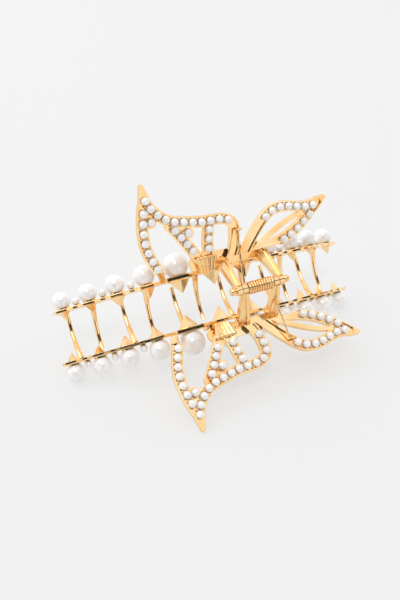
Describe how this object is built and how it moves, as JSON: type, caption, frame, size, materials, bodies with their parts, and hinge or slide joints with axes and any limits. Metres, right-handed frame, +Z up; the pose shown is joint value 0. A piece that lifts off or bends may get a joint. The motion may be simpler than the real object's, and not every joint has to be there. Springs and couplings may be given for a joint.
{
  "type": "hair claw clip",
  "caption": "Butterfly-shaped metal hair claw with pearl-set toothed jaws, openwork wings as finger levers and a sprung hinge.",
  "frame": {"origin": "bottom centre of the bounding box: the table's level, in the middle of the clip as it lies closed on its near side", "axes": "+X along the hinge pin and the two toothed bars, from the forewings to the hindwings; +Z up from the table the clip lies on; +Y from the near jaw towards the far jaw"},
  "size_m": [0.1134, 0.0608, 0.064],
  "materials": {
    "gold_plating": "polished light gold plating",
    "pearl": "white imitation pearl, glossy nacre coating",
    "spring_wire": "gold-plated spring wire"
  },
  "bodies": {
    "near_jaw": {"near_forewing": "gold_plating", "near_forewing_pearls": "pearl", "near_hindwing": "gold_plating", "near_hindwing_pearls": "pearl", "near_hinge_frame": "gold_plating", "near_pearl_01": "pearl", "near_pearl_02": "pearl", "near_pearl_03": "pearl", "near_pearl_04": "pearl", "near_pearl_05": "pearl", "near_pearl_06": "pearl", "near_pearl_07": "pearl", "near_pearl_08": "pearl", "near_pearl_09": "pearl", "near_pearl_10": "pearl", "near_pearl_11": "pearl", "near_small_pearls": "pearl", "near_toothed_bar": "gold_plating", "hinge_pin": "gold_plating", "torsion_spring": "spring_wire"},
    "far_jaw": {"far_forewing": "gold_plating", "far_forewing_pearls": "pearl", "far_hindwing": "gold_plating", "far_hindwing_pearls": "pearl", "far_hinge_frame": "gold_plating", "far_pearl_01": "pearl", "far_pearl_02": "pearl", "far_pearl_03": "pearl", "far_pearl_04": "pearl", "far_pearl_05": "pearl", "far_pearl_06": "pearl", "far_pearl_07": "pearl", "far_pearl_08": "pearl", "far_pearl_09": "pearl", "far_pearl_10": "pearl", "far_pearl_11": "pearl", "far_small_pearls": "pearl", "far_toothed_bar": "gold_plating", "spring_far_leg": "spring_wire"}
  },
  "joints": [
    {"name": "jaw_hinge", "type": "hinge", "parent": "near_jaw", "child": "far_jaw", "pos_m": [0.00755, -0.00328, 0.03053], "axis": [1, 0, 0], "range_deg": [0, 50], "stiffness_Nm_per_rad": 0.2, "springref_deg": -28.65}
  ]
}
